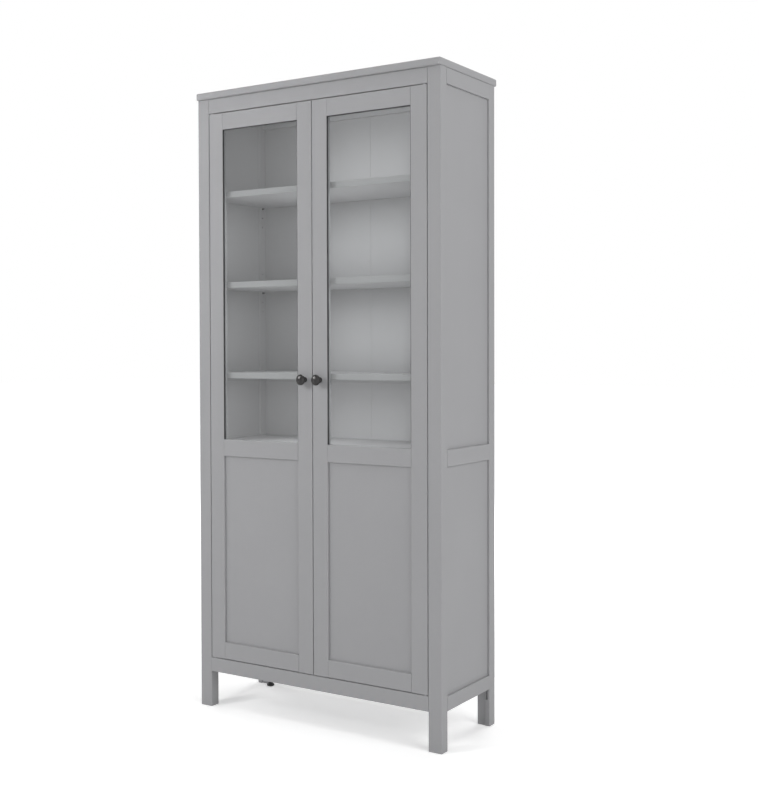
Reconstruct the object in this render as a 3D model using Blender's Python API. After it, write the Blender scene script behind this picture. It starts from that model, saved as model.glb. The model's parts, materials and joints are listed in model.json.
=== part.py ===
"""Display cabinet with two inset doors, glazed above and panelled below.

Metres, +Z up, front towards -Y. The origin is on the floor, under the middle of the outer box, knobs
included. Left and right are as seen from the front.
"""
import math

import bmesh
import bpy
from mathutils import Matrix, Vector

# Outer box
WIDTH = 0.900
DEPTH = 0.370
HEIGHT = 1.970

# Clearances
FIT = 0.0003
SHELF_CLEARANCE = 0.0005
SWING_CLEARANCE = 0.0006
PAST = 0.002

# Top board
TOP_THICK = 0.022
TOP_ROUND = 0.004
SIDE_OVERHANG = 0.002
FRONT_OVERHANG = 0.008
REAR_OVERHANG = 0.012

# Side frames
EDGE_ROUND = 0.0015
POST_WIDTH = 0.044
POST_DEPTH = 0.034
SIDE_THICK = 0.016
REAR_STILE_DEPTH = 0.034
LEG_HEIGHT = 0.114
SIDE_TOP_RAIL = 0.046
SIDE_MID_RAIL = 0.048
SIDE_MID_TOP = 0.862
SIDE_BOTTOM_RAIL = 0.042
SIDE_PANEL_THICK = 0.0064
SIDE_PANEL_RECESS = 0.007
GROOVE_DEPTH = 0.008
GROOVE_RUNOUT = 0.034

# Front frame, doors and their infill
FRAME_THICK = 0.020
FRONT_TOP_RAIL = 0.046
FRONT_BOTTOM_RAIL = 0.045
DOOR_GAP = 0.0023
DOOR_STILE = 0.054
DOOR_RAIL = 0.053
DOOR_MID_TOP = 0.864
INFILL_THICK = 0.004
INFILL_RECESS = 0.007

# Boards inside, and the back
BOTTOM_THICK = 0.018
SHELF_THICK = 0.019
CUPBOARD_TOP = 0.857
FIRST_SHELF_TOP = 1.077
SHELF_PITCH = 0.288
CUPBOARD_SHELF_TOP = 0.513
BACK_THICK = 0.003
BACK_MARGIN = 0.002
BACK_STRIP_WIDTH = 0.024
BACK_STRIP_THICK = 0.002
REAR_TOP_RAIL = 0.046
REAR_RAIL_THICK = 0.016

# Shelf pin holes
HOLE_PITCH = 0.032
HOLE_RADIUS = 0.0025
HOLE_DEPTH = 0.008
HOLE_SIDES = 10

# Rear legs and the levelling foot
LEG_BLOCK_SETBACK = 0.004
FOOT_RADIUS = 0.013
FOOT_HEIGHT = 0.010
FOOT_STEM_RADIUS = 0.004
FOOT_FROM_REAR = 0.042
FOOT_FROM_LEG = 0.0035

# Pivot hinges: a pin in each front rail turns in a bush in the door
PIVOT_INSET = 0.012
PIN_RADIUS = 0.0025
PIN_LENGTH = 0.010
PIN_FLANGE_RADIUS = 0.004
PIN_FLANGE_THICK = 0.001
BUSH_RADIUS = 0.004
BUSH_LENGTH = 0.012

# Knobs and their screws
KNOB_REACH = 0.030
KNOB_RADIUS = 0.0165
KNOB_BASE_RADIUS = 0.0085
KNOB_NECK_RADIUS = 0.006
KNOB_BASE_THICK = 0.0025
KNOB_HEAD_THICK = 0.0135
KNOB_BELLY = 0.4  # share of the head's thickness behind its widest circle
KNOB_HEIGHT = 1.058
SCREW_RADIUS = 0.002
SCREW_HEAD_RADIUS = 0.004
SCREW_TIP_RADIUS = 0.0024
SCREW_HEAD_THICK = 0.0025
SCREW_IN_KNOB = 0.010

# Magnetic catch behind the top of the doors
CATCH_WIDTH = 0.044
CATCH_DEPTH = 0.013
CATCH_ABOVE = 0.022
CATCH_BELOW = 0.018
STRIKE_WIDTH = 0.014
STRIKE_THICK = 0.001
STRIKE_MARGIN = 0.003

# Facets of the turned pieces
KNOB_SIDES = 32
FOOT_SIDES = 24
PIVOT_SIDES = 16
SCREW_SIDES = 12
SMOOTH_BELOW = math.radians(40)

# Planes worked out from the sizes above
REAR_EDGE = DEPTH / 2
FRONT = KNOB_REACH - DEPTH / 2
REAR = REAR_EDGE - REAR_OVERHANG
BODY_SIDE = WIDTH / 2 - SIDE_OVERHANG
POST_INNER = BODY_SIDE - POST_WIDTH
POST_REAR = FRONT + POST_DEPTH
SIDE_INNER = BODY_SIDE - SIDE_THICK
STILE_FRONT = REAR - REAR_STILE_DEPTH
CARCASS_TOP = HEIGHT - TOP_THICK - FIT
SIDE_TOP_UNDER = HEIGHT - TOP_THICK - SIDE_TOP_RAIL
SIDE_MID_UNDER = SIDE_MID_TOP - SIDE_MID_RAIL
SIDE_BOTTOM_TOP = LEG_HEIGHT + SIDE_BOTTOM_RAIL
PANEL_OUTER = BODY_SIDE - SIDE_PANEL_RECESS
PANEL_INNER = PANEL_OUTER - SIDE_PANEL_THICK

FRAME_REAR = FRONT + FRAME_THICK
TOP_RAIL_UNDER = HEIGHT - TOP_THICK - FRONT_TOP_RAIL
BOTTOM_RAIL_TOP = LEG_HEIGHT + FRONT_BOTTOM_RAIL
DOOR_TOP = TOP_RAIL_UNDER - DOOR_GAP
DOOR_BOTTOM = BOTTOM_RAIL_TOP + DOOR_GAP
DOOR_MID_UNDER = DOOR_MID_TOP - DOOR_RAIL
HINGE_EDGE = POST_INNER - DOOR_GAP
HINGE_STILE_INNER = HINGE_EDGE - DOOR_STILE
MEETING_EDGE = DOOR_GAP / 2
MEETING_STILE_INNER = MEETING_EDGE + DOOR_STILE
INFILL_FRONT = FRONT + INFILL_RECESS
INFILL_REAR = INFILL_FRONT + INFILL_THICK

# The pivot lies as far behind the front as lets the door's front corner swing past the post
PIVOT_X = POST_INNER - PIVOT_INSET
PIVOT_Y = FRONT + math.sqrt((PIVOT_INSET - SWING_CLEARANCE) ** 2 - (PIVOT_INSET - DOOR_GAP) ** 2)
SHELF_FRONT = PIVOT_Y + math.hypot(PIVOT_INSET - DOOR_GAP, FRAME_REAR - PIVOT_Y) + 2 * SWING_CLEARANCE

BACK_FRONT = REAR + FIT
BOTTOM_UNDER = BOTTOM_RAIL_TOP - BOTTOM_THICK
FRONT_PIN_Y = (SHELF_FRONT + POST_REAR) / 2
REAR_PIN_Y = (STILE_FRONT + REAR) / 2
KNOB_X = MEETING_EDGE + DOOR_STILE / 2
LOOSE_SHELF_TOPS = (FIRST_SHELF_TOP + SHELF_PITCH, FIRST_SHELF_TOP + 2 * SHELF_PITCH, CUPBOARD_SHELF_TOP)

LEFT, RIGHT = -1, 1
SIDE_NAMES = {LEFT: "left", RIGHT: "right"}


def clear_scene():
    for thing in list(bpy.data.objects):
        bpy.data.objects.remove(thing, do_unlink=True)


def finish(name, colour, roughness, metallic=0.0, transmission=0.0):
    """Principled material of one colour."""
    surface = bpy.data.materials.new(name)
    surface.use_nodes = True
    shader = surface.node_tree.nodes["Principled BSDF"]
    shader.inputs["Base Color"].default_value = (*colour, 1.0)
    shader.inputs["Roughness"].default_value = roughness
    shader.inputs["Metallic"].default_value = metallic
    shader.inputs["Transmission Weight"].default_value = transmission
    return surface


def make_finishes():
    return {
        "paint": finish("grey_paint", (0.33, 0.33, 0.34), 0.45),
        "board": finish("grey_back_board", (0.36, 0.36, 0.37), 0.55),
        "glass": finish("clear_glass", (0.95, 0.97, 0.97), 0.02, transmission=1.0),
        "bronze": finish("dark_bronze", (0.03, 0.03, 0.035), 0.35, metallic=0.8),
        "steel": finish("zinc_steel", (0.60, 0.60, 0.62), 0.30, metallic=1.0),
        "plastic": finish("black_plastic", (0.015, 0.015, 0.015), 0.50),
    }


def span(side, inner, outer):
    """Low and high X of a stretch given by its distances from the middle plane."""
    return (inner, outer) if side == RIGHT else (-outer, -inner)


def add_box(mesh, low, high):
    verts = bmesh.ops.create_cube(mesh, size=1.0)["verts"]
    size = [top - bottom for bottom, top in zip(low, high)]
    centre = [(top + bottom) / 2 for bottom, top in zip(low, high)]
    bmesh.ops.scale(mesh, vec=size, verts=verts)
    bmesh.ops.translate(mesh, vec=centre, verts=verts)


def add_rod(mesh, start, direction, length, radius, sides):
    """Cylinder from a point along a direction."""
    aim = Vector(direction).normalized()
    turn = aim.to_track_quat("Z", "Y").to_matrix().to_4x4()
    place = Matrix.Translation(Vector(start) + aim * length / 2) @ turn
    bmesh.ops.create_cone(mesh, cap_ends=True, segments=sides, radius1=radius, radius2=radius,
                          depth=length, matrix=place)


def block(low, high, rounded="", radius=EDGE_ROUND, segments=2):
    """Box whose edges that run along the named axes are rounded."""
    mesh = bmesh.new()
    add_box(mesh, low, high)
    edges = []
    for edge in mesh.edges:
        run = [abs(value) for value in edge.verts[1].co - edge.verts[0].co]
        if "xyz"[run.index(max(run))] in rounded:
            edges.append(edge)
    if edges:
        bmesh.ops.bevel(mesh, geom=edges, offset=radius, segments=segments, profile=0.5, affect="EDGES")
    return mesh


def turned(outline, axis, sides, closed=False):
    """Shape turned about an axis through the origin from (radius, height) points."""
    mesh = bmesh.new()
    across = Vector((1, 0, 0))
    verts = [mesh.verts.new(across * radius + Vector(axis) * height) for radius, height in outline]
    edges = [mesh.edges.new(pair) for pair in zip(verts, verts[1:])]
    if closed:
        edges.append(mesh.edges.new((verts[-1], verts[0])))
    bmesh.ops.spin(mesh, geom=verts + edges, axis=axis, cent=(0, 0, 0), angle=2 * math.pi, steps=sides,
                   use_merge=True)
    bmesh.ops.remove_doubles(mesh, verts=mesh.verts, dist=1e-6)
    bmesh.ops.recalc_face_normals(mesh, faces=mesh.faces)
    return mesh


def add_piece(name, mesh, surface, axis=None, place=(0, 0, 0), smooth=False):
    """Named object from a mesh, hung on a door's axis where one is given."""
    bmesh.ops.translate(mesh, vec=place, verts=mesh.verts)
    data = bpy.data.meshes.new(name)
    mesh.to_mesh(data)
    mesh.free()
    if smooth:
        data.shade_smooth()
        data.set_sharp_from_angle(angle=SMOOTH_BELOW)
    data.materials.append(surface)
    piece = bpy.data.objects.new(name, data)
    bpy.context.collection.objects.link(piece)
    if axis:
        piece.parent = axis
        piece.location = -axis.location
    return piece


def cut(piece, mesh):
    """Take a mesh of closed shapes, clear of each other, out of a piece."""
    data = bpy.data.meshes.new(piece.name + "_cutter")
    mesh.to_mesh(data)
    mesh.free()
    cutter = bpy.data.objects.new(data.name, data)
    bpy.context.collection.objects.link(cutter)
    cutter.hide_render = True
    cutter.display_type = "WIRE"
    step = piece.modifiers.new("cut", "BOOLEAN")
    step.operation = "DIFFERENCE"
    step.solver = "EXACT"
    step.object = cutter


def cut_boxes(piece, *corners):
    mesh = bmesh.new()
    for low, high in corners:
        add_box(mesh, low, high)
    cut(piece, mesh)


def make_top(finishes):
    low = (-WIDTH / 2, FRONT - FRONT_OVERHANG, HEIGHT - TOP_THICK)
    high = (WIDTH / 2, REAR_EDGE, HEIGHT)
    add_piece("top_board", block(low, high, "xyz", TOP_ROUND, 3), finishes["paint"])


def cut_pin_holes(piece, side, face, depth_place):
    """Rows of five holes about each loose shelf, bored outwards from an inner face."""
    mesh = bmesh.new()
    for shelf_top in LOOSE_SHELF_TOPS:
        pin_height = shelf_top - SHELF_THICK - HOLE_RADIUS
        for step in range(-2, 3):
            start = (side * (face - PAST), depth_place, pin_height + step * HOLE_PITCH)
            add_rod(mesh, start, (side, 0, 0), HOLE_DEPTH + PAST, HOLE_RADIUS, HOLE_SIDES)
    cut(piece, mesh)


def cut_side_groove(piece, side, near, far):
    """Panel groove of a post or rear stile, open at the top and run out below the bottom rail."""
    low_x, high_x = span(side, PANEL_INNER - FIT, PANEL_OUTER + FIT)
    low = (low_x, near, LEG_HEIGHT - GROOVE_RUNOUT)
    cut_boxes(piece, (low, (high_x, far, HEIGHT)))


def make_side_uprights(side, finishes):
    name = SIDE_NAMES[side]
    low_x, high_x = span(side, POST_INNER, BODY_SIDE)
    mesh = block((low_x, FRONT, 0), (high_x, POST_REAR, CARCASS_TOP), "z")
    post = add_piece(name + "_front_post", mesh, finishes["paint"])
    cut_side_groove(post, side, POST_REAR - GROOVE_DEPTH, POST_REAR + PAST)
    cut_pin_holes(post, side, POST_INNER, FRONT_PIN_Y)

    low_x, high_x = span(side, SIDE_INNER, BODY_SIDE)
    mesh = block((low_x, STILE_FRONT, 0), (high_x, REAR, CARCASS_TOP), "z")
    stile = add_piece(name + "_rear_stile", mesh, finishes["paint"])
    cut_side_groove(stile, side, STILE_FRONT - PAST, STILE_FRONT + GROOVE_DEPTH)
    cut_pin_holes(stile, side, SIDE_INNER, REAR_PIN_Y)


def make_side_rail(name, side, bottom, top, grooves, surface):
    """Rail with a stub tenon at each end, grooved on the edges that hold a panel."""
    low_x, high_x = span(side, SIDE_INNER, BODY_SIDE)
    front = POST_REAR + FIT
    rear = STILE_FRONT - FIT
    low = (low_x, front - GROOVE_DEPTH, bottom)
    high = (high_x, rear + GROOVE_DEPTH, top)
    rail = add_piece(name, block(low, high, "y"), surface)
    shoulders = []
    for near, far in ((front - GROOVE_DEPTH - PAST, front), (rear, rear + GROOVE_DEPTH + PAST)):
        for inner, outer in ((SIDE_INNER - PAST, PANEL_INNER), (PANEL_OUTER, BODY_SIDE + PAST)):
            start, end = span(side, inner, outer)
            shoulders.append(((start, near, bottom - PAST), (end, far, top + PAST)))
    cut_boxes(rail, *shoulders)
    start, end = span(side, PANEL_INNER - FIT, PANEL_OUTER + FIT)
    near, far = low[1] - PAST, high[1] + PAST
    edges = {"above": (top - GROOVE_DEPTH, top + PAST), "below": (bottom - PAST, bottom + GROOVE_DEPTH)}
    cut_boxes(rail, *[((start, near, edges[edge][0]), (end, far, edges[edge][1])) for edge in grooves])


def make_side_panel(name, side, bottom, top, surface):
    low_x, high_x = span(side, PANEL_INNER, PANEL_OUTER)
    tongue = GROOVE_DEPTH - FIT
    low = (low_x, POST_REAR - tongue, bottom - tongue)
    high = (high_x, STILE_FRONT + tongue, top + tongue)
    add_piece(name, block(low, high), surface)


def make_side(side, finishes):
    name = SIDE_NAMES[side]
    paint = finishes["paint"]
    make_side_uprights(side, finishes)
    make_side_rail(name + "_side_top_rail", side, SIDE_TOP_UNDER, CARCASS_TOP, ["below"], paint)
    make_side_rail(name + "_side_mid_rail", side, SIDE_MID_UNDER, SIDE_MID_TOP, ["above", "below"], paint)
    make_side_rail(name + "_side_bottom_rail", side, LEG_HEIGHT, SIDE_BOTTOM_TOP, ["above"], paint)
    make_side_panel(name + "_upper_side_panel", side, SIDE_MID_TOP, SIDE_TOP_UNDER, paint)
    make_side_panel(name + "_lower_side_panel", side, SIDE_BOTTOM_TOP, SIDE_MID_UNDER, paint)

    start, end = span(side, POST_INNER, SIDE_INNER - FIT)
    low = (start, STILE_FRONT + LEG_BLOCK_SETBACK, 0)
    high = (end, REAR, BOTTOM_UNDER - FIT)
    add_piece(name + "_rear_leg_block", block(low, high, "z"), paint)


def make_front_rail(name, bottom, top, bore_from, bore_way, surface):
    """Rail between the posts, bored at both ends for the doors' pivot pins."""
    reach = POST_INNER - FIT
    rail = add_piece(name, block((-reach, FRONT, bottom), (reach, FRAME_REAR, top), "x"), surface)
    mesh = bmesh.new()
    for side in (LEFT, RIGHT):
        start = (side * PIVOT_X, PIVOT_Y, bore_from - bore_way * PAST)
        add_rod(mesh, start, (0, 0, bore_way), PIN_LENGTH + FIT + PAST, PIN_RADIUS + FIT, PIVOT_SIDES)
    cut(rail, mesh)


def make_board(name, top, thick, front, rear, surface):
    """Full-width board, notched round the front posts."""
    reach = SIDE_INNER - SHELF_CLEARANCE
    board = add_piece(name, block((-reach, front, top - thick), (reach, rear, top), "x"), surface)
    notches = []
    for side in (LEFT, RIGHT):
        start, end = span(side, POST_INNER - SHELF_CLEARANCE, reach + PAST)
        low = (start, front - PAST, top - thick - PAST)
        notches.append((low, (end, POST_REAR + SHELF_CLEARANCE, top + PAST)))
    cut_boxes(board, *notches)


def make_boards(finishes):
    paint = finishes["paint"]
    fixed_rear = BACK_FRONT - FIT
    loose_rear = BACK_FRONT - 2 * SHELF_CLEARANCE
    make_board("bottom_board", BOTTOM_RAIL_TOP, BOTTOM_THICK, FRAME_REAR + FIT, fixed_rear, paint)
    make_board("cupboard_top", CUPBOARD_TOP, SHELF_THICK, SHELF_FRONT, fixed_rear, paint)
    make_board("fixed_shelf", FIRST_SHELF_TOP, SHELF_THICK, SHELF_FRONT, fixed_rear, paint)
    names = ("middle_shelf", "upper_shelf", "cupboard_shelf")
    for name, top in zip(names, LOOSE_SHELF_TOPS):
        make_board(name, top, SHELF_THICK, SHELF_FRONT, loose_rear, paint)


def make_back(finishes):
    reach = SIDE_INNER - FIT
    low = (-reach, REAR - REAR_RAIL_THICK, HEIGHT - TOP_THICK - REAR_TOP_RAIL)
    mesh = block(low, (reach, REAR, CARCASS_TOP), "x")
    add_piece("rear_top_rail", mesh, finishes["paint"])
    rear = BACK_FRONT + BACK_THICK
    for side in (LEFT, RIGHT):
        start, end = span(side, FIT, BODY_SIDE - BACK_MARGIN)
        mesh = block((start, BACK_FRONT, BOTTOM_UNDER), (end, rear, CARCASS_TOP))
        add_piece(SIDE_NAMES[side] + "_back_panel", mesh, finishes["board"])
    half = BACK_STRIP_WIDTH / 2
    low = (-half, rear + FIT, BOTTOM_UNDER)
    high = (half, rear + FIT + BACK_STRIP_THICK, CARCASS_TOP)
    add_piece("back_joint_strip", block(low, high, "z", BACK_STRIP_THICK / 3, 1), finishes["board"])


def make_foot(finishes):
    """Round levelling foot by the left rear leg, screwed into the bottom board."""
    stem_top = BOTTOM_UNDER - FIT
    rim = FOOT_HEIGHT / 5
    outline = [(0, 0), (FOOT_RADIUS - rim, 0), (FOOT_RADIUS, rim), (FOOT_RADIUS, FOOT_HEIGHT / 2),
               (FOOT_STEM_RADIUS * 2, FOOT_HEIGHT), (FOOT_STEM_RADIUS, FOOT_HEIGHT),
               (FOOT_STEM_RADIUS, stem_top), (0, stem_top)]
    place = (-(POST_INNER - FOOT_FROM_LEG - FOOT_RADIUS), REAR - FOOT_FROM_REAR, 0)
    foot = turned(outline, (0, 0, 1), FOOT_SIDES)
    add_piece("levelling_foot", foot, finishes["plastic"], None, place, True)


def make_door_stile(name, side, inner, outer, groove_edge, axis, surface):
    """Upright door member, grooved along the edge that faces the glass."""
    start, end = span(side, inner, outer)
    mesh = block((start, FRONT, DOOR_BOTTOM), (end, FRAME_REAR, DOOR_TOP), "z")
    stile = add_piece(name, mesh, surface, axis)
    if groove_edge == inner:
        start, end = span(side, inner - PAST, inner + GROOVE_DEPTH)
    else:
        start, end = span(side, outer - GROOVE_DEPTH, outer + PAST)
    low = (start, INFILL_FRONT - FIT, DOOR_BOTTOM - PAST)
    cut_boxes(stile, (low, (end, INFILL_REAR + FIT, DOOR_TOP + PAST)))
    return stile


def make_door_rail(name, side, bottom, top, grooves, axis, surface):
    """Cross member of a door, with a stub tenon at each end and grooves for the infill."""
    inner = MEETING_STILE_INNER + FIT
    outer = HINGE_STILE_INNER - FIT
    start, end = span(side, inner - GROOVE_DEPTH, outer + GROOVE_DEPTH)
    mesh = block((start, FRONT, bottom), (end, FRAME_REAR, top), "x")
    rail = add_piece(name, mesh, surface, axis)
    shoulders = []
    for near, far in ((inner - GROOVE_DEPTH - PAST, inner), (outer, outer + GROOVE_DEPTH + PAST)):
        low_x, high_x = span(side, near, far)
        for front, rear in ((FRONT - PAST, INFILL_FRONT), (INFILL_REAR, FRAME_REAR + PAST)):
            shoulders.append(((low_x, front, bottom - PAST), (high_x, rear, top + PAST)))
    cut_boxes(rail, *shoulders)
    edges = {"above": (top - GROOVE_DEPTH, top + PAST), "below": (bottom - PAST, bottom + GROOVE_DEPTH)}
    boxes = []
    for edge in grooves:
        low = (start - PAST, INFILL_FRONT - FIT, edges[edge][0])
        boxes.append((low, (end + PAST, INFILL_REAR + FIT, edges[edge][1])))
    cut_boxes(rail, *boxes)


def make_infill(name, side, bottom, top, axis, surface):
    """Glass or panel, held all round in the door's groove."""
    tongue = GROOVE_DEPTH - FIT
    start, end = span(side, MEETING_STILE_INNER - tongue, HINGE_STILE_INNER + tongue)
    mesh = block((start, INFILL_FRONT, bottom - tongue), (end, INFILL_REAR, top + tongue))
    add_piece(name, mesh, surface, axis)


def knob_outline():
    """Mushroom profile from the screw hole in its foot, round the head, to the middle of its face."""
    bore = SCREW_RADIUS + FIT
    deep = SCREW_IN_KNOB + FIT
    head_start = KNOB_REACH - KNOB_HEAD_THICK
    outline = [(0, deep), (bore, deep), (bore, FIT), (KNOB_BASE_RADIUS, FIT),
               (KNOB_BASE_RADIUS, KNOB_BASE_THICK), (KNOB_NECK_RADIUS, KNOB_BASE_THICK * 2)]
    middle = head_start + KNOB_HEAD_THICK * KNOB_BELLY
    for step in range(1, 6):
        angle = step * math.pi / 10
        outline.append((KNOB_NECK_RADIUS + (KNOB_RADIUS - KNOB_NECK_RADIUS) * math.sin(angle),
                        head_start + (middle - head_start) * (1 - math.cos(angle))))
    for step in range(1, 8):
        angle = step * math.pi / 14
        outline.append((KNOB_RADIUS * math.cos(angle), middle + (KNOB_REACH - middle) * math.sin(angle)))
    outline[-1] = (0, KNOB_REACH)
    return outline


def make_knob(side, stile, axis, finishes):
    """Knob on the front of the meeting stile, and the screw through the stile that holds it."""
    name = SIDE_NAMES[side]
    bore = bmesh.new()
    start = (side * KNOB_X, FRONT - PAST, KNOB_HEIGHT)
    add_rod(bore, start, (0, 1, 0), FRAME_THICK + 2 * PAST, SCREW_RADIUS + FIT, SCREW_SIDES)
    cut(stile, bore)
    place = (side * KNOB_X, FRONT, KNOB_HEIGHT)
    knob = turned(knob_outline(), (0, -1, 0), KNOB_SIDES)
    add_piece(name + "_knob", knob, finishes["bronze"], axis, place, True)
    seat = -FRAME_THICK - FIT
    outline = [(0, SCREW_IN_KNOB), (SCREW_RADIUS, SCREW_IN_KNOB), (SCREW_RADIUS, seat),
               (SCREW_HEAD_RADIUS, seat), (SCREW_TIP_RADIUS, seat - SCREW_HEAD_THICK),
               (0, seat - SCREW_HEAD_THICK)]
    screw = turned(outline, (0, -1, 0), SCREW_SIDES)
    add_piece(name + "_knob_screw", screw, finishes["steel"], axis, place, True)


def make_pivot(name, side, rail_face, door_face, way, stile, axis, finishes):
    """Flanged pin standing in a front rail, and the bush that turns on it in the door's stile."""
    place = (side * PIVOT_X, PIVOT_Y, rail_face)
    flange_far = FIT + PIN_FLANGE_THICK
    tip = DOOR_GAP + PIN_LENGTH
    outline = [(0, -PIN_LENGTH), (PIN_RADIUS, -PIN_LENGTH), (PIN_RADIUS, FIT), (PIN_FLANGE_RADIUS, FIT),
               (PIN_FLANGE_RADIUS, flange_far), (PIN_RADIUS, flange_far), (PIN_RADIUS, tip), (0, tip)]
    pin = turned(outline, (0, 0, way), PIVOT_SIDES)
    add_piece(name + "_pivot_pin", pin, finishes["steel"], None, place, True)

    near = flange_far + FIT
    far = DOOR_GAP + BUSH_LENGTH
    hole = PIN_RADIUS + FIT
    outline = [(hole, near), (BUSH_RADIUS, near), (BUSH_RADIUS, far), (hole, far)]
    bush = turned(outline, (0, 0, way), PIVOT_SIDES, closed=True)
    add_piece(name + "_pivot_bush", bush, finishes["plastic"], axis, place, True)
    bore = bmesh.new()
    start = (side * PIVOT_X, PIVOT_Y, door_face - way * PAST)
    add_rod(bore, start, (0, 0, way), BUSH_LENGTH + FIT + PAST, BUSH_RADIUS + FIT, PIVOT_SIDES)
    cut(stile, bore)


def make_strike(side, axis, surface):
    """Steel plate on the back of the meeting stile, for the catch to hold."""
    start, end = span(side, MEETING_EDGE + STRIKE_MARGIN, MEETING_EDGE + STRIKE_MARGIN + STRIKE_WIDTH)
    seat = FRAME_REAR + FIT
    low = (start, seat, TOP_RAIL_UNDER - CATCH_BELOW + STRIKE_MARGIN)
    high = (end, seat + STRIKE_THICK, DOOR_TOP - STRIKE_MARGIN)
    add_piece(SIDE_NAMES[side] + "_strike_plate", block(low, high), surface, axis)


def make_catch(finishes):
    """Twin magnet block on the rear of the front top rail, cut back below it for the strike plates."""
    half = CATCH_WIDTH / 2
    seat = FRAME_REAR + FIT
    low = (-half, seat, TOP_RAIL_UNDER - CATCH_BELOW)
    high = (half, seat + CATCH_DEPTH, TOP_RAIL_UNDER + CATCH_ABOVE)
    catch = add_piece("magnetic_catch", block(low, high, "z"), finishes["plastic"])
    relief = seat + STRIKE_THICK + FIT
    relief_low = (-half - PAST, seat - PAST, low[2] - PAST)
    cut_boxes(catch, (relief_low, (half + PAST, relief, TOP_RAIL_UNDER)))


def make_door(side, finishes):
    name = SIDE_NAMES[side] + "_door"
    paint = finishes["paint"]
    axis = bpy.data.objects.new(name + "_axis", None)
    bpy.context.collection.objects.link(axis)
    axis.location = (side * PIVOT_X, PIVOT_Y, 0)

    hinge = make_door_stile(name + "_hinge_stile", side, HINGE_STILE_INNER, HINGE_EDGE, HINGE_STILE_INNER,
                            axis, paint)
    meeting = make_door_stile(name + "_meeting_stile", side, MEETING_EDGE, MEETING_STILE_INNER,
                              MEETING_STILE_INNER, axis, paint)
    top_rail_under = DOOR_TOP - DOOR_RAIL
    bottom_rail_top = DOOR_BOTTOM + DOOR_RAIL
    make_door_rail(name + "_top_rail", side, top_rail_under, DOOR_TOP, ["below"], axis, paint)
    make_door_rail(name + "_mid_rail", side, DOOR_MID_UNDER, DOOR_MID_TOP, ["above", "below"], axis, paint)
    make_door_rail(name + "_bottom_rail", side, DOOR_BOTTOM, bottom_rail_top, ["above"], axis, paint)
    make_infill(name + "_glass", side, DOOR_MID_TOP, top_rail_under, axis, finishes["glass"])
    make_infill(name + "_panel", side, bottom_rail_top, DOOR_MID_UNDER, axis, paint)

    make_knob(side, meeting, axis, finishes)
    make_pivot(name + "_top", side, TOP_RAIL_UNDER, DOOR_TOP, -1, hinge, axis, finishes)
    make_pivot(name + "_bottom", side, BOTTOM_RAIL_TOP, DOOR_BOTTOM, 1, hinge, axis, finishes)
    make_strike(side, axis, finishes["steel"])


def main():
    clear_scene()
    finishes = make_finishes()
    make_top(finishes)
    for side in (LEFT, RIGHT):
        make_side(side, finishes)
    make_front_rail("front_top_rail", TOP_RAIL_UNDER, CARCASS_TOP, TOP_RAIL_UNDER, 1, finishes["paint"])
    make_front_rail("front_bottom_rail", LEG_HEIGHT, BOTTOM_RAIL_TOP, BOTTOM_RAIL_TOP, -1, finishes["paint"])
    make_boards(finishes)
    make_back(finishes)
    make_foot(finishes)
    make_catch(finishes)
    for side in (LEFT, RIGHT):
        make_door(side, finishes)


main()
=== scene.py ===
"""Dresses a display cabinet: paint, glass, hardware, small fittings and a plain studio."""
import json
import math

import bmesh
import bpy
from bpy.props import FloatProperty, FloatVectorProperty, PointerProperty
from mathutils import Matrix, Vector


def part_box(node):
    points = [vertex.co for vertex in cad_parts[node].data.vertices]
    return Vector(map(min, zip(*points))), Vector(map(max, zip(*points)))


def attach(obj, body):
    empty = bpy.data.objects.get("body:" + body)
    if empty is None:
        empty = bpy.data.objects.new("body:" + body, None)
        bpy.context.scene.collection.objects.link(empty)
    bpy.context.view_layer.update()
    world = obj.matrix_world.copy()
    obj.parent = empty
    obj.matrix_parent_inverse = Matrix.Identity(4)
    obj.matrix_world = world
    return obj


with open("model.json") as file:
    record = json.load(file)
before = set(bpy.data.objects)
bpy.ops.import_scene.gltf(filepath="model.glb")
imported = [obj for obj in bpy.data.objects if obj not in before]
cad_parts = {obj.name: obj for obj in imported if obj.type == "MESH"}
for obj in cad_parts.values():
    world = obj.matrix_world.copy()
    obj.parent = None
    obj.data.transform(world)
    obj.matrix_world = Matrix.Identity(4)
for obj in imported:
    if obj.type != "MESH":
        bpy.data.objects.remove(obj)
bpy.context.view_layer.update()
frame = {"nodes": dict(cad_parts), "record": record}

bl_info = {
    "name": "Display Cabinet Dressing",
    "version": (1, 0, 0),
    "blender": (4, 5, 0),
    "location": "3D View > Sidebar > Cabinet",
    "description": "Paint, glass, hardware and studio for a display cabinet with two inset doors",
    "category": "Object",
}

# Camera that took the picture: place in metres, turn in degrees, lens in millimetres
CAMERA_PLACE = (2.094145, -3.048851, 1.152874)
CAMERA_YAW, CAMERA_PITCH, CAMERA_ROLL = 32.631, -1.149, -0.147
CAMERA_LENS = 53.225
CAMERA_SHIFT_Y = -0.0339

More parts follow.
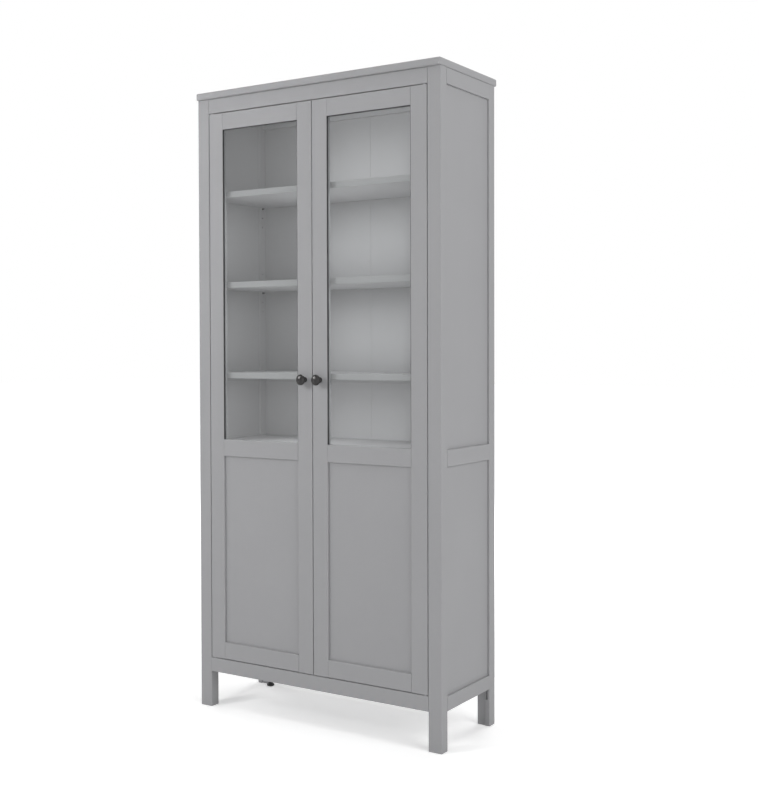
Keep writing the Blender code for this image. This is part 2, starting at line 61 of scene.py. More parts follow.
# Soft boxes: name, place, point aimed at, width and height in metres, watts, and whether panes and shiny
# surfaces mirror it
LAMPS = (
    ("key_softbox", (-1.72, -2.7, 2.25), (0.0, 0.0, 1.2), (0.4, 1.1), 39.0, False),
    ("high_softbox", (-0.9, -2.8, 3.5), (0.0, 0.0, 1.0), (1.2, 1.2), 7.0, False),
    ("left_softbox", (-4.5, -2.2, 1.6), (0.0, 0.0, 1.0), (2.4, 2.4), 18.0, False),
    ("left_rear_softbox", (-4.5, 1.3, 1.9), (-0.45, 0.0, 1.0), (2.4, 2.4), 60.0, False),
    ("right_softbox", (3.8, -0.8, 2.7), (0.4, 0.0, 1.2), (2.4, 2.4), 88.0, False),
    ("front_softbox", (2.9, -5.0, 1.5), (0.0, 0.0, 1.0), (2.4, 2.4), 46.0, True),
    ("rear_softbox", (0.0, 4.4, 2.4), (0.0, 0.1, 1.0), (3.0, 3.0), 112.0, False),
    ("top_softbox", (0.0, 0.0, 4.6), (0.0, 0.0, 0.0), (3.0, 3.0), 62.0, False),
)

# White card that the satin knobs mirror: place, point aimed at, width and height in metres
CARD_PLACE, CARD_AIM, CARD_SIZE = (-2.1, -2.4, 2.2), (0.0, -0.17, 1.06), (0.8, 0.8)

# Weak fill in each glazed bay: the piece below it, the piece above it, the middle of the lamp that faces
# the back, and the watts towards the back, down and up
BAYS = (
    ("cupboard_top", "fixed_shelf", -0.08, 0.28, 0.50, 0.0),
    ("fixed_shelf", "middle_shelf", 0.0, 0.0, 0.60, 0.40),
    ("middle_shelf", "upper_shelf", 0.0, 0.0, 0.49, 0.53),
    ("upper_shelf", "left_door_top_rail", 0.04, 0.75, 0.0, 0.0),
)

# Lamps of the bays: their width, the height that the back-facing ones leave free and how far these lie
# behind the shelves' fronts; then the strips' middle, depth, distance from the boards and setback
BAY_WIDTH, BAY_MARGIN, BAY_SETBACK = 0.60, 0.016, 0.002
STRIP_MIDDLE, STRIP_DEPTH, STRIP_GAP, STRIP_SETBACK = 0.02, 0.10, 0.004, 0.036

# Studio floor: side of the plane, how far it lies under the feet, and where its own white begins to grow
# and is full, from the middle of the cabinet
FLOOR_SIZE, FLOOR_DROP, FADE_START, FADE_END = 60.0, 0.0004, 1.2, 3.5

DOORS = ("left_door", "right_door")
LOOSE_SHELVES = ("middle_shelf", "upper_shelf", "cupboard_shelf")
FIXED_BOARDS = ("bottom_board", "cupboard_top", "fixed_shelf")

# Gap between a fitting and what it lies on, distance within which coordinates count as equal, distance
# within which points merge, and how squarely a face looks along an axis to be picked
CLEAR, SAME, MERGE, SQUARE = 0.00008, 1e-5, 1e-6, 0.9

# Share of the width of the black strip that paints the shade in the panes' reveals by which its front edges
# are rounded
REVEAL_SHADE_ROUND = 0.55

# Shelf pin holes: distance between holes, from a shelf's underside to its pin's middle, the empty holes
# counted from a pin's, and the distance of a pin's collar and a dark cup's rim from the hole's mouth
HOLE_PITCH, HOLE_DROP, EMPTY_HOLES, MOUTH_GAP = 0.032, 0.0025, (-2, -1, 1, 2), 0.0001

# Dark cup in an empty hole, painted shade of the deep hole together with the darker raw wood inside it:
# number of sides, wall, and the share of its depth that is hollow
DARK_CUP_SIDES, DARK_CUP_WALL, DARK_CUP_HOLLOW = 12, 0.0003, 0.9

# Shelf pin: number of sides, bevel of its tip, collar's length and width in barrels, tongue's width and
# height in collars, length kept for the tongue's nose, bevel of the nose, and how far the flat top is
# under the barrel's
PIN_SIDES = 20
TIP_INSET, TIP_RISE = 0.0006, 0.0004
COLLAR_LENGTH, COLLAR_SPREAD = 0.0014, 1.75
TONGUE_SHARE = (0.8, 0.55)
NOSE_LENGTH, NOSE_INSET, NOSE_RISE = 0.0016, 0.0008, 0.0012
TOP_TRIM = 0.00002

# Nails of the back: distance from its ends, its lower edge and the joint strip; number of sides of a head,
# its height in radii, and the steps of its dome, inset in radii and rise in heights
NAIL_MARGIN, NAIL_EDGE, NAIL_STRIP = 0.030, 0.006, 0.009
NAIL_SIDES, NAIL_HEIGHT, NAIL_DOME = 12, 0.45, ((0.35, 0.35), (0.35, 0.15))

# Noise scales of the paint's clouds and dimples, and of the grain across and along the boards
CLOUD_SCALE, PEEL_SCALE, GRAIN_ACROSS, GRAIN_ALONG = 4.5, 650.0, 150.0, 3.0

# How far the roughness of paint and of hard finishes wanders, and the height of a hard finish's skin
PAINT_WANDER, SKIN_WANDER, SKIN_HEIGHT = 0.03, 0.05, 0.00002

# Which way each painted piece's boards run, by the end of its name
RUNS_ACROSS = ("front_top_rail", "front_bottom_rail", "rear_top_rail", "board", "shelf", "cupboard_top",
               "door_top_rail", "door_mid_rail", "door_bottom_rail")
RUNS_DEEP = ("side_top_rail", "side_mid_rail", "side_bottom_rail")


class PaintSettings(bpy.types.PropertyGroup):
    colour: FloatVectorProperty(
        name="Paint", description="Colour of the satin paint", subtype="COLOR", size=3, min=0, max=1,
        default=(0.360, 0.360, 0.370))
    board_colour: FloatVectorProperty(
        name="Back board", description="Colour of the painted fibreboard back", subtype="COLOR", size=3,
        min=0, max=1, default=(0.372, 0.372, 0.382))
    roughness: FloatProperty(
        name="Roughness", description="Mean roughness of the paint", min=0.05, max=1, default=0.60)
    shine: FloatProperty(
        name="Shine", description="Specular level of the paint", min=0, max=1, default=0.25)
    mottle: FloatProperty(
        name="Mottle", description="How far the paint's shade wanders", min=0, max=0.2, default=0.012)
    peel: FloatProperty(
        name="Spray texture", description="Height of the sprayed film's fine dimples", subtype="DISTANCE",
        min=0, max=0.001, default=0.00003)
    grain: FloatProperty(
        name="Grain", description="Height of the wood grain that tells through the paint",
        subtype="DISTANCE", min=0, max=0.001, default=0.00004)


class GlassSettings(bpy.types.PropertyGroup):
    tint: FloatVectorProperty(
        name="Tint", description="Colour that the pane lets through", subtype="COLOR", size=3, min=0,
        max=1, default=(0.965, 0.975, 0.972))
    shine: FloatProperty(
        name="Shine", description="Specular level of the pane", min=0, max=1, default=0.15)
    # Painted shade in the panes' reveals: colour, width and setback of the black strip that stands in for it
    reveal_shade_colour: FloatVectorProperty(
        name="Reveal shade", description="Colour of the rubber glazing seal", subtype="COLOR", size=3, min=0,
        max=1, default=(0.030, 0.030, 0.031))
    reveal_shade_width: FloatProperty(
        name="Seal width", description="How far the seal stands into the opening", subtype="DISTANCE",
        min=0.0005, max=0.004, default=0.0012)
    reveal_shade_setback: FloatProperty(
        name="Seal setback", description="Distance from the door's front to the seal", subtype="DISTANCE",
        min=0, max=0.006, default=0.0009)


class HardwareSettings(bpy.types.PropertyGroup):
    bronze: FloatVectorProperty(
        name="Knobs", description="Colour of the dark knobs", subtype="COLOR", size=3, min=0, max=1,
        default=(0.030, 0.029, 0.029))
    zinc: FloatVectorProperty(
        name="Zinc", description="Colour of the zinc plated fittings", subtype="COLOR", size=3, min=0,
        max=1, default=(0.56, 0.56, 0.58))
    plastic: FloatVectorProperty(
        name="Plastic", description="Colour of the black plastic", subtype="COLOR", size=3, min=0, max=1,
        default=(0.012, 0.012, 0.012))
    pin_radius: FloatProperty(
        name="Pin radius", description="Radius of a shelf pin's barrel", subtype="DISTANCE", min=0.001,
        max=0.0023, default=0.0023)
    pin_depth: FloatProperty(
        name="Pin depth", description="How deep a shelf pin goes into its hole", subtype="DISTANCE",
        min=0.003, max=0.0075, default=0.0072)
    pin_reach: FloatProperty(
        name="Pin reach", description="How far a shelf pin reaches under the shelf", subtype="DISTANCE",
        min=0.004, max=0.015, default=0.0085)
    nail_radius: FloatProperty(
        name="Nail radius", description="Radius of the back's nail heads", subtype="DISTANCE", min=0.001,
        max=0.004, default=0.0021)
    nail_pitch: FloatProperty(
        name="Nail pitch", description="Distance between the back's nails", subtype="DISTANCE", min=0.05,
        max=0.4, default=0.150)


class StageSettings(bpy.types.PropertyGroup):
    floor_colour: FloatVectorProperty(
        name="Floor", description="Colour of the studio floor", subtype="COLOR", size=3, min=0, max=1,
        default=(0.90, 0.90, 0.90))
    floor_glow: FloatProperty(
        name="Floor white", description="Plain white added to the floor as it is seen", min=0, max=1,
        default=0.34)
    ambient: FloatProperty(
        name="Ambient", description="Strength of the studio's even light", min=0, max=2, default=0.05)
    lamps: FloatProperty(
        name="Lamps", description="Factor on all lamps", min=0, max=4, default=1.0)
    card: FloatProperty(
        name="Card", description="Brightness of the card that the knobs mirror", min=0, max=60, default=30.0)


def put_node(tree, kind, links=None, values=None, **settings):
    """New shader node with its settings, its own values and what feeds it."""
    node = tree.nodes.new(kind)
    for key, value in settings.items():
        setattr(node, key, value)
    for key, value in (values or {}).items():
        node.inputs[key].default_value = value
    for key, source in (links or {}).items():
        tree.links.new(source, node.inputs[key])
    return node


def empty_tree(owner):
    """Cleared node tree of a material or a world."""
    owner.use_nodes = True
    owner.node_tree.nodes.clear()
    return owner.node_tree


def new_surface(name, colour, roughness, metallic=0.0):
    """Material with one Principled shader, and its tree and shader."""
    surface = bpy.data.materials.new(name)
    tree = empty_tree(surface)
    shader = put_node(tree, "ShaderNodeBsdfPrincipled", values={
        "Base Color": (*colour, 1.0), "Roughness": roughness, "Metallic": metallic})
    put_node(tree, "ShaderNodeOutputMaterial", {"Surface": shader.outputs["BSDF"]})
    return surface, tree, shader


def noise(tree, where, scale, detail=2.0):
    """Noise at a place, about 0.5 on average."""
    values = {"Scale": scale, "Detail": detail, "Roughness": 0.55}
    return put_node(tree, "ShaderNodeTexNoise", {"Vector": where}, values).outputs["Fac"]


def spread(tree, source, low, high):
    """Noise from 0.3 to 0.7 spread over a range."""
    values = {"From Min": 0.3, "From Max": 0.7, "To Min": low, "To Max": high}
    return put_node(tree, "ShaderNodeMapRange", {"Value": source}, values).outputs["Result"]


def vary_colour(tree, shader, source, colour, amount):
    """Let the base colour wander about its mean."""
    mix = put_node(tree, "ShaderNodeMix", data_type="RGBA")
    factor, dark, light = (socket for socket in mix.inputs if socket.enabled)
    dark.default_value = (*[part * (1 - amount) for part in colour], 1.0)
    light.default_value = (*[part * (1 + amount) for part in colour], 1.0)
    tree.links.new(spread(tree, source, 0.0, 1.0), factor)
    result = next(socket for socket in mix.outputs if socket.enabled)
    tree.links.new(result, shader.inputs["Base Color"])


def add_bumps(tree, shader, bumps):
    """Chain of bump nodes from (height source, height in metres) pairs."""
    normal = None
    for source, height in bumps:
        links = {"Height": source}
        if normal:
            links["Normal"] = normal
        step = put_node(tree, "ShaderNodeBump", links, {"Strength": 1.0, "Distance": height})
        normal = step.outputs["Normal"]
    tree.links.new(normal, shader.inputs["Normal"])


def object_place(tree):
    """Place on the piece, in its own coordinates."""
    return put_node(tree, "ShaderNodeTexCoord").outputs["Object"]


def make_paint(name, run, colour, settings):
    """Sprayed satin paint over boards whose grain runs along one axis."""
    surface, tree, shader = new_surface(name, colour, settings.roughness)
    shader.inputs["Specular IOR Level"].default_value = settings.shine
    where = object_place(tree)
    stretch = [GRAIN_ALONG if axis == run else GRAIN_ACROSS for axis in "xyz"]
    along = put_node(tree, "ShaderNodeMapping", {"Vector": where}, {"Scale": stretch}).outputs["Vector"]
    cloud = noise(tree, where, CLOUD_SCALE)
    peel = noise(tree, where, PEEL_SCALE)
    grain = noise(tree, along, scale=1.0, detail=3.0)
    vary_colour(tree, shader, cloud, colour, settings.mottle)
    rough = spread(tree, grain, settings.roughness - PAINT_WANDER, settings.roughness + PAINT_WANDER)
    tree.links.new(rough, shader.inputs["Roughness"])
    add_bumps(tree, shader, ((peel, settings.peel), (grain, settings.grain)))
    return surface


def make_hard_finish(name, colour, roughness, metallic, scale, amount):
    """Metal, rubber or plastic with a fine-grained skin."""
    surface, tree, shader = new_surface(name, colour, roughness, metallic)
    skin = noise(tree, object_place(tree), scale, detail=3.0)
    vary_colour(tree, shader, skin, colour, amount)
    rough = spread(tree, skin, roughness - SKIN_WANDER, roughness + SKIN_WANDER)
    tree.links.new(rough, shader.inputs["Roughness"])
    add_bumps(tree, shader, ((skin, SKIN_HEIGHT),))
    return surface


def make_glass(name, settings):
    """Clear pane that lets lamp light through to the shelves."""
    surface, tree, shader = new_surface(name, settings.tint, 0.0)
    shader.inputs["Transmission Weight"].default_value = 1.0
    shader.inputs["IOR"].default_value = 1.5
    shader.inputs["Specular IOR Level"].default_value = settings.shine
    output = next(node for node in tree.nodes if node.type == "OUTPUT_MATERIAL")
    path = put_node(tree, "ShaderNodeLightPath")
    clear = put_node(tree, "ShaderNodeBsdfTransparent", values={"Color": (*settings.tint, 1.0)})
    seen = shader.outputs["BSDF"]
    for kind in ("Is Shadow Ray", "Is Diffuse Ray"):
        links = {0: path.outputs[kind], 1: seen, 2: clear.outputs["BSDF"]}
        seen = put_node(tree, "ShaderNodeMixShader", links).outputs["Shader"]
    tree.links.new(seen, output.inputs["Surface"])
    return surface


def dress(node, surface):
    """Give a CAD node one material."""
    mesh = frame["nodes"][node].data
    mesh.materials.clear()
    mesh.materials.append(surface)


def nodes_of_slot(slot):
    """Names of the CAD nodes with a material slot."""
    return [row["node"] for row in frame["record"]["subparts"] if row["material_slot"] == slot]


def start_piece(name, add, **options):
    """Primitive in edit mode, with nothing else selected."""
    bpy.ops.object.select_all(action="DESELECT")
    add(**options)
    piece = bpy.context.object
    piece.name = piece.data.name = name
    bpy.ops.object.transform_apply(location=True, rotation=True, scale=True)
    bpy.ops.object.mode_set(mode="EDIT")
    bpy.ops.mesh.select_mode(type="FACE")
    return piece


def start_rod(name, vertices, radius, start, length):
    """Cylinder along X from a start, in edit mode."""
    return start_piece(name, bpy.ops.mesh.primitive_cylinder_add, vertices=vertices, radius=radius,
                       depth=length, rotation=(0, math.pi / 2, 0), location=(start + length / 2, 0, 0))


def pick_faces(piece, test):
    """Select only the faces whose normal passes a test."""
    mesh = bmesh.from_edit_mesh(piece.data)
    mesh.normal_update()
    for face in mesh.faces:
        face.select_set(False)
    for face in mesh.faces:
        if test(face.normal):
            face.select_set(True)
    bmesh.update_edit_mesh(piece.data)


def extrude(way=(0, 0, 0)):
    """Extrude the selected faces along a vector."""
    bpy.ops.mesh.extrude_region_move(TRANSFORM_OT_translate={"value": way})


def finish_mesh(piece, surface, angle=35):
    """Leave edit mode with a closed, outward mesh in one material, smooth up to an angle in degrees."""
    bpy.ops.mesh.select_all(action="SELECT")
    bpy.ops.mesh.remove_doubles(threshold=MERGE)
    bpy.ops.mesh.normals_make_consistent(inside=False)
    bpy.ops.object.mode_set(mode="OBJECT")
    bpy.ops.object.shade_smooth_by_angle(angle=math.radians(angle))
    piece.data.materials.append(surface)
    return piece


def settle(piece, body):
    """Hang a piece on its body."""
    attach(piece, body)


def copy_to(piece, name, place, flip=False):
    """Copy with its own mesh at a place, mirrored across X if asked."""
    bpy.ops.object.select_all(action="DESELECT")
    twin = piece.copy()
    twin.data = piece.data.copy()
    twin.name = twin.data.name = name
    bpy.context.collection.objects.link(twin)
    twin.matrix_world = Matrix.Translation(place)
    twin.select_set(True)
    bpy.context.view_layer.objects.active = twin
    if flip:
        twin.scale.x = -1
    bpy.ops.object.transform_apply(location=True, rotation=True, scale=True)
    if flip:
        bpy.ops.object.mode_set(mode="EDIT")
        bpy.ops.mesh.select_all(action="SELECT")
        bpy.ops.mesh.normals_make_consistent(inside=False)
        bpy.ops.object.mode_set(mode="OBJECT")
    return twin


def join_as(pieces, name):
    """Several pieces as one object."""
    bpy.ops.object.select_all(action="DESELECT")
    for piece in pieces:
        piece.select_set(True)
    bpy.context.view_layer.objects.active = pieces[0]
    bpy.ops.object.join()
    pieces[0].name = pieces[0].data.name = name
    return pieces[0]


class CABINET_OT_paint(bpy.types.Operator):
    """Paint the frames, doors, boards and back"""
    bl_idname = "cabinet.paint"
    bl_label = "Paint the woodwork"

    def execute(self, context):
        settings = context.scene.cabinet_paint
        paints = {run: make_paint("satin_paint_" + run, run, settings.colour, settings) for run in "xyz"}
        for node in nodes_of_slot("grey_paint"):
            run = "y" if node.endswith(RUNS_DEEP) else "x" if node.endswith(RUNS_ACROSS) else "z"
            dress(node, paints[run])
        board = make_paint("painted_fibreboard", "z", settings.board_colour, settings)
        for node in nodes_of_slot("back_board"):
            dress(node, board)
        return {"FINISHED"}


class CABINET_OT_glaze(bpy.types.Operator):
    """Make the panes clear and lay a black strip round each of them, as painted shade in its reveal"""
    bl_idname = "cabinet.glaze"
    bl_label = "Glaze the doors"

    def execute(self, context):
        settings = context.scene.cabinet_glass
        pane = make_glass("clear_float_glass", settings)
        # Black finish of the strip that paints the shade in the panes' reveals
        strip_black = make_hard_finish("black_reveal_shade", settings.reveal_shade_colour, roughness=0.62, metallic=0.0,
                                  scale=1500.0, amount=0.1)
        for door in DOORS:
            dress(door + "_glass", pane)
            self.lay_reveal_shade(door, settings, strip_black)
        return {"FINISHED"}

    def lay_reveal_shade(self, door, settings, strip_black):
        """Black strip in front of the pane, down both stiles and along the top rail: painted shade in the
        reveal, left off along the foot, where the reveal is lit.
        """
        stiles = [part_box(f"{door}_{part}_stile") for part in ("hinge", "meeting")]
        left, right = sorted(stiles, key=lambda stile: stile[0].x)
        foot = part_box(door + "_mid_rail")[1].z + CLEAR
        low = Vector((left[1].x + CLEAR, left[0].y + settings.reveal_shade_setback, foot - 2 * settings.reveal_shade_width))
        high = Vector((right[0].x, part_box(door + "_glass")[0].y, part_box(door + "_top_rail")[0].z))
        high -= Vector((CLEAR, CLEAR, CLEAR))
        shade_strip = start_piece(door + "_reveal_shade_strip", bpy.ops.mesh.primitive_cube_add, size=1,
                           location=(low + high) / 2, scale=high - low)
        pick_faces(shade_strip, lambda normal: abs(normal.y) > SQUARE)
        bpy.ops.mesh.inset(thickness=settings.reveal_shade_width, depth=0, use_individual=True)
        bpy.ops.mesh.bridge_edge_loops()
        self.pick_front_edges(shade_strip, low, high)
        bpy.ops.mesh.bevel(offset=settings.reveal_shade_width * REVEAL_SHADE_ROUND, segments=3)
        bpy.ops.mesh.select_all(action="SELECT")
        bpy.ops.mesh.bisect(plane_co=(0, 0, foot), plane_no=(0, 0, 1), use_fill=True, clear_inner=True)
        settle(finish_mesh(shade_strip, strip_black), door)

    def pick_front_edges(self, shade_strip, low, high):
        """Select the strip's front edges round its opening, without the mitres."""
        mesh = bmesh.from_edit_mesh(shade_strip.data)
        bpy.ops.mesh.select_mode(type="EDGE")
        for edge in mesh.edges:
            first, second = (vert.co for vert in edge.verts)
            middle, along = (first + second) / 2, second - first
            front = max(abs(first.y - low.y), abs(second.y - low.y)) < SAME
            inside = all(low[axis] + CLEAR < middle[axis] < high[axis] - CLEAR for axis in (0, 2))
            mitre = min(abs(along.x), abs(along.z)) > SAME
            edge.select_set(front and inside and not mitre)
        bmesh.update_edit_mesh(shade_strip.data)


class CABINET_OT_hardware(bpy.types.Operator):
    """Finish the knobs, pivots, screws, catch and foot"""
    bl_idname = "cabinet.hardware"
    bl_label = "Finish the hardware"

    def execute(self, context):
        settings = context.scene.cabinet_hardware
        finishes = {
            "dark_bronze": make_hard_finish(
                "dark_bronze", settings.bronze, roughness=0.30, metallic=0.6, scale=420.0, amount=0.15),
            "zinc_steel": make_hard_finish(
                "zinc_plate", settings.zinc, roughness=0.34, metallic=1.0, scale=700.0, amount=0.08),
            "black_plastic": make_hard_finish(
                "moulded_black_plastic", settings.plastic, roughness=0.5, metallic=0.0, scale=900.0,
                amount=0.2),
        }
        for slot, surface in finishes.items():
            for node in nodes_of_slot(slot):
                dress(node, surface)
        return {"FINISHED"}


class CABINET_OT_shelf_pins(bpy.types.Operator):
    """Put four pins under each loose shelf and a dark cup in each empty hole, as painted shade of the deep
    hole together with its darker raw wood
    """
    bl_idname = "cabinet.shelf_pins"
    bl_label = "Fit the shelf pins"

    def execute(self, context):
        settings = context.scene.cabinet_hardware
        plastic = bpy.data.materials["moulded_black_plastic"]
        # The cups in the empty holes take the black plastic: painted shade of the deep holes together with
        # their darker raw wood
        pin, shade_and_wood_cup = self.make_pin(settings, plastic), self.make_shade_and_wood_cup(settings, plastic)
        for side, row in ((side, row) for side in ("left", "right") for row in ("front", "rear")):
            shade_and_wood_cups = []
            for shelf in LOOSE_SHELVES:
                place = self.pin_place(shelf, side, row)
                twin = copy_to(pin, f"{shelf}_{side}_{row}_pin", place, flip=side == "left")
                settle(twin, "carcass")
                for step in EMPTY_HOLES:
                    hole = place + Vector((0, 0, step * HOLE_PITCH))
                    shade_and_wood_cups.append(copy_to(shade_and_wood_cup, f"{shelf}_sleeve_{step}", hole, flip=side == "left"))
            settle(join_as(shade_and_wood_cups, f"{side}_{row}_hole_sleeves"), "carcass")
        for pattern in (pin, shade_and_wood_cup):
            bpy.data.objects.remove(pattern, do_unlink=True)
        return {"FINISHED"}

    def pin_place(self, shelf, side, row):
        """Mouth of the hole whose pin carries a shelf's corner."""
        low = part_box(shelf)[0]
        near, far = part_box(f"{side}_front_post" if row == "front" else f"{side}_rear_stile")
        depth = ((low.y if row == "front" else near.y) + far.y) / 2
        return Vector((far.x if side == "left" else near.x, depth, low.z - HOLE_DROP))

    def make_shade_and_wood_cup(self, settings, surface):
        """Dark cup for a right-hand hole, open towards -X: painted shade of the deep hole together with the
        darker raw wood inside it.
        """
        shade_and_wood_cup = start_rod("hole_shade_and_wood_pattern", DARK_CUP_SIDES, settings.pin_radius, MOUTH_GAP,
                           settings.pin_depth)
        pick_faces(shade_and_wood_cup, lambda normal: normal.x < -SQUARE)
        bpy.ops.mesh.inset(thickness=DARK_CUP_WALL, depth=0)
        extrude((settings.pin_depth * DARK_CUP_HOLLOW, 0, 0))
        return finish_mesh(shade_and_wood_cup, surface)

    def make_pin(self, settings, surface):
        """Pin for a right-hand hole: barrel out to +X, collar and flat tongue towards -X."""
        pin = start_rod("shelf_pin_pattern", PIN_SIDES, settings.pin_radius, -MOUTH_GAP, settings.pin_depth)
        pick_faces(pin, lambda normal: normal.x > SQUARE)
        bpy.ops.mesh.inset(thickness=TIP_INSET, depth=TIP_RISE)
        pick_faces(pin, lambda normal: normal.x < -SQUARE)
        extrude()
        bpy.ops.transform.resize(value=(1, COLLAR_SPREAD, COLLAR_SPREAD))
        extrude((-COLLAR_LENGTH, 0, 0))
        extrude()
        bpy.ops.transform.resize(value=(1, *TONGUE_SHARE))
        extrude((COLLAR_LENGTH - settings.pin_reach + NOSE_LENGTH, 0, 0))
        bpy.ops.mesh.inset(thickness=NOSE_INSET, depth=NOSE_RISE)
        bpy.ops.mesh.select_all(action="SELECT")
        top = settings.pin_radius - TOP_TRIM
        bpy.ops.mesh.bisect(plane_co=(0, 0, top), plane_no=(0, 0, 1), use_fill=True, clear_outer=True,
                            threshold=MERGE)
        return finish_mesh(pin, surface)


class CABINET_OT_back_nails(bpy.types.Operator):
    """Nail the back to the stiles, the rear rail and the fixed boards"""
    bl_idname = "cabinet.back_nails"
    bl_label = "Nail the back"

    def execute(self, context):
        settings = context.scene.cabinet_hardware
        pattern = self.make_nail(settings, bpy.data.materials["zinc_plate"])
        for side in ("left", "right"):
            places = self.nail_places(side, settings.nail_pitch)
            nails = [copy_to(pattern, f"{side}_back_nail_{count}", place)
                     for count, place in enumerate(places)]
            settle(join_as(nails, side + "_back_nails"), "carcass")
        bpy.data.objects.remove(pattern, do_unlink=True)
        return {"FINISHED"}

    def nail_places(self, side, pitch):
        """Nails down the stile, and across the rear rail and each fixed board."""
        panel_low, panel_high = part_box(side + "_back_panel")
        stile_low, stile_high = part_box(side + "_rear_stile")
        edge = (stile_low.x + stile_high.x) / 2
        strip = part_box("back_joint_strip")[1].x + NAIL_STRIP
        inner = strip if side == "right" else -strip
        face = panel_high.y
        length = panel_high.z - panel_low.z - 2 * NAIL_MARGIN
        steps = round(length / pitch)
        rise = length / steps
        places = [Vector((edge, face, panel_low.z + NAIL_MARGIN + step * rise)) for step in range(steps + 1)]
        count = round(abs(edge - inner) / pitch)
        for board in FIXED_BOARDS + ("rear_top_rail",):
            low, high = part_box(board)
            height = max((low.z + high.z) / 2, panel_low.z + NAIL_EDGE)
            for step in range(count):
                place = inner + (edge - inner) * step / count
                places.append(Vector((place, face, height)))
        return places

    def make_nail(self, settings, surface):
        """Low domed head, its flat side on the back's plane."""
        radius, height = settings.nail_radius, settings.nail_radius * NAIL_HEIGHT
        nail = start_piece("back_nail_pattern", bpy.ops.mesh.primitive_cylinder_add, vertices=NAIL_SIDES,
                           radius=radius, depth=height / 2, rotation=(math.pi / 2, 0, 0),
                           location=(0, height / 4 + CLEAR, 0))
        pick_faces(nail, lambda normal: normal.y > SQUARE)
        for inset, rise in NAIL_DOME:
            bpy.ops.mesh.inset(thickness=radius * inset, depth=height * rise)
        return finish_mesh(nail, surface, angle=60)


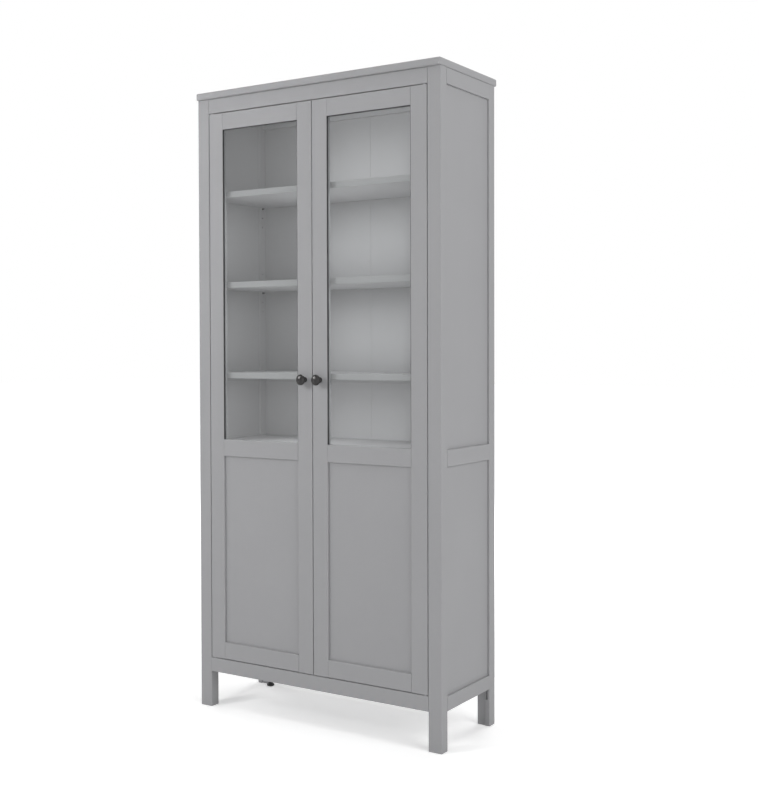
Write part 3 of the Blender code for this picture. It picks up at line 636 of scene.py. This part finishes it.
class CABINET_OT_stage(bpy.types.Operator):
    """Set the pale floor, the soft light and the camera"""
    bl_idname = "cabinet.stage"
    bl_label = "Set the studio"

    def execute(self, context):
        settings = context.scene.cabinet_stage
        context.scene.view_settings.view_transform = "Standard"
        self.lay_floor(settings)
        self.light_world(context.scene, settings)
        for lamp in LAMPS:
            self.hang_lamp(context.scene, settings, *lamp)
        for bay in BAYS:
            self.light_bay(context.scene, settings, *bay)
        self.hang_card(settings)
        self.place_camera(context.scene)
        return {"FINISHED"}

    def seen_straight(self, tree):
        """One where a ray comes straight from the camera, or by way of a mirror or glass, unscattered."""
        path = put_node(tree, "ShaderNodeLightPath")
        seen = path.outputs["Is Camera Ray"]
        for kind in ("Is Glossy Ray", "Is Transmission Ray"):
            links = {0: seen, 1: path.outputs[kind]}
            seen = put_node(tree, "ShaderNodeMath", links, operation="MAXIMUM").outputs["Value"]
        links = {0: path.outputs["Diffuse Depth"]}
        unscattered = put_node(tree, "ShaderNodeMath", links, {1: 0.5}, operation="LESS_THAN")
        links = {0: seen, 1: unscattered.outputs["Value"]}
        return put_node(tree, "ShaderNodeMath", links, operation="MULTIPLY").outputs["Value"]

    def lay_floor(self, settings):
        """Pale floor that takes the shadow and turns plain white away from the cabinet."""
        bpy.ops.object.select_all(action="DESELECT")
        bpy.ops.mesh.primitive_plane_add(size=FLOOR_SIZE, location=(0, 0, -FLOOR_DROP))
        floor = bpy.context.object
        floor.name = "studio_floor"
        bpy.ops.object.transform_apply(location=True)
        surface = bpy.data.materials.new("pale_floor")
        tree = empty_tree(surface)
        lit = put_node(tree, "ShaderNodeBsdfDiffuse", values={"Color": (*settings.floor_colour, 1.0)})
        far = put_node(tree, "ShaderNodeVectorMath", {0: object_place(tree)}, operation="LENGTH")
        share = put_node(tree, "ShaderNodeMapRange", {"Value": far.outputs["Value"]}, {
            "From Min": FADE_START, "From Max": FADE_END, "To Min": settings.floor_glow, "To Max": 1.0})
        links = {0: self.seen_straight(tree), 1: share.outputs["Result"]}
        factor = put_node(tree, "ShaderNodeMath", links, operation="MULTIPLY")
        white = put_node(tree, "ShaderNodeEmission", {"Strength": factor.outputs["Value"]})
        links = {0: lit.outputs["BSDF"], 1: white.outputs["Emission"]}
        both = put_node(tree, "ShaderNodeAddShader", links)
        put_node(tree, "ShaderNodeOutputMaterial", {"Surface": both.outputs["Shader"]})
        floor.data.materials.append(surface)

    def light_world(self, scene, settings):
        """Weak even light from all sides, and plain white where the background is seen."""
        scene.world = bpy.data.worlds.new("studio")
        tree = empty_tree(scene.world)
        white = (1, 1, 1, 1)
        even, seen = (put_node(tree, "ShaderNodeBackground", values={"Color": white, "Strength": strength})
                      for strength in (settings.ambient, 1.0))
        links = {0: self.seen_straight(tree), 1: even.outputs["Background"], 2: seen.outputs["Background"]}
        mix = put_node(tree, "ShaderNodeMixShader", links)
        put_node(tree, "ShaderNodeOutputWorld", {"Surface": mix.outputs["Shader"]})

    def light_bay(self, scene, settings, below, above, middle, back_watts, down_watts, up_watts):
        """Lamps behind the shelves' fronts: one that faces the back, and strips that face down and up."""
        front, floor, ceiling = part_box("fixed_shelf")[0].y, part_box(below)[1].z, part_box(above)[0].z
        height = ceiling - floor - 2 * BAY_MARGIN
        centre = (middle, front + BAY_SETBACK, (floor + ceiling) / 2)
        depth = front + STRIP_SETBACK + STRIP_DEPTH / 2
        upper = (STRIP_MIDDLE, depth, ceiling - STRIP_GAP)
        lower = (STRIP_MIDDLE, depth, floor + STRIP_GAP)
        lamps = (
            ("bay_above_" + below, centre, (0, 1, 0), height, back_watts),
            ("strip_below_" + above, upper, (0, 0, -1), STRIP_DEPTH, down_watts),
            ("strip_above_" + below, lower, (0, 0, 1), STRIP_DEPTH, up_watts),
        )
        for name, place, way, reach, watts in lamps:
            if watts:
                target = Vector(place) + Vector(way)
                self.hang_lamp(scene, settings, name, place, target, (BAY_WIDTH, reach), watts, False)

    def hang_card(self, settings):
        """Bright card that only satin surfaces show: no light on the object, no image in the panes."""
        bpy.ops.object.select_all(action="DESELECT")
        turn = (Vector(CARD_PLACE) - Vector(CARD_AIM)).to_track_quat("Z", "Y").to_euler()
        bpy.ops.mesh.primitive_plane_add(size=1, location=CARD_PLACE, rotation=turn)
        card = bpy.context.object
        card.name = "knob_card"
        card.scale = (*CARD_SIZE, 1)
        bpy.ops.object.transform_apply(location=True, rotation=True, scale=True)
        surface = bpy.data.materials.new("white_card")
        surface.cycles.emission_sampling = "NONE"
        tree = empty_tree(surface)
        path = put_node(tree, "ShaderNodeLightPath")
        glow = put_node(tree, "ShaderNodeEmission", values={"Strength": settings.card})
        clear = put_node(tree, "ShaderNodeBsdfTransparent")
        links = {0: path.outputs["Is Singular Ray"], 1: glow.outputs["Emission"], 2: clear.outputs["BSDF"]}
        shown = put_node(tree, "ShaderNodeMixShader", links)
        put_node(tree, "ShaderNodeOutputMaterial", {"Surface": shown.outputs["Shader"]})
        card.data.materials.append(surface)
        card.visible_camera = card.visible_diffuse = card.visible_transmission = card.visible_shadow = False

    def hang_lamp(self, scene, settings, name, place, target, size, watts, mirrored):
        """Area lamp turned to a target, hidden from the camera."""
        light = bpy.data.lights.new(name, "AREA")
        light.shape = "RECTANGLE"
        light.size, light.size_y = size
        light.energy = watts * settings.lamps
        lamp = bpy.data.objects.new(name, light)
        scene.collection.objects.link(lamp)
        lamp.location = place
        lamp.rotation_euler = (Vector(target) - Vector(place)).to_track_quat("-Z", "Y").to_euler()
        lamp.visible_camera = False
        lamp.visible_glossy = lamp.visible_transmission = mirrored

    def place_camera(self, scene):
        """Camera of the photograph."""
        yaw, pitch, roll = (math.radians(turn) for turn in (CAMERA_YAW, CAMERA_PITCH, CAMERA_ROLL))
        right = Vector((math.cos(yaw), math.sin(yaw), 0))
        ahead = Vector((-math.sin(yaw) * math.cos(pitch), math.cos(yaw) * math.cos(pitch), math.sin(pitch)))
        up = right.cross(ahead)
        right, up = (right * math.cos(roll) + up * math.sin(roll),
                     up * math.cos(roll) - right * math.sin(roll))
        view = bpy.data.cameras.new("photo_camera")
        view.lens = CAMERA_LENS
        view.shift_y = CAMERA_SHIFT_Y
        camera = bpy.data.objects.new("photo_camera", view)
        scene.collection.objects.link(camera)
        turn = Matrix((right, up, -ahead)).transposed().to_4x4()
        camera.matrix_world = Matrix.Translation(CAMERA_PLACE) @ turn
        scene.camera = camera


class CABINET_PT_dressing(bpy.types.Panel):
    bl_label = "Display Cabinet"
    bl_idname = "CABINET_PT_dressing"
    bl_space_type = "VIEW_3D"
    bl_region_type = "UI"
    bl_category = "Cabinet"

    def draw(self, context):
        for operator in OPERATORS:
            self.layout.operator(operator.bl_idname)
        for name in SETTINGS:
            group = getattr(context.scene, name)
            for key in group.__annotations__:
                self.layout.prop(group, key)


SETTINGS = {"cabinet_paint": PaintSettings, "cabinet_glass": GlassSettings,
            "cabinet_hardware": HardwareSettings, "cabinet_stage": StageSettings}
OPERATORS = (CABINET_OT_stage, CABINET_OT_paint, CABINET_OT_glaze, CABINET_OT_hardware,
             CABINET_OT_shelf_pins, CABINET_OT_back_nails)
CLASSES = (*SETTINGS.values(), *OPERATORS, CABINET_PT_dressing)


def register():
    for kind in CLASSES:
        bpy.utils.register_class(kind)
    for name, group in SETTINGS.items():
        setattr(bpy.types.Scene, name, PointerProperty(type=group))


def unregister():
    for name in SETTINGS:
        delattr(bpy.types.Scene, name)
    for kind in reversed(CLASSES):
        bpy.utils.unregister_class(kind)


def main():
    register()
    bpy.ops.cabinet.stage()
    bpy.ops.cabinet.paint()
    bpy.ops.cabinet.glaze()
    bpy.ops.cabinet.hardware()
    bpy.ops.cabinet.shelf_pins()
    bpy.ops.cabinet.back_nails()


if __name__ == "__main__":
    main()
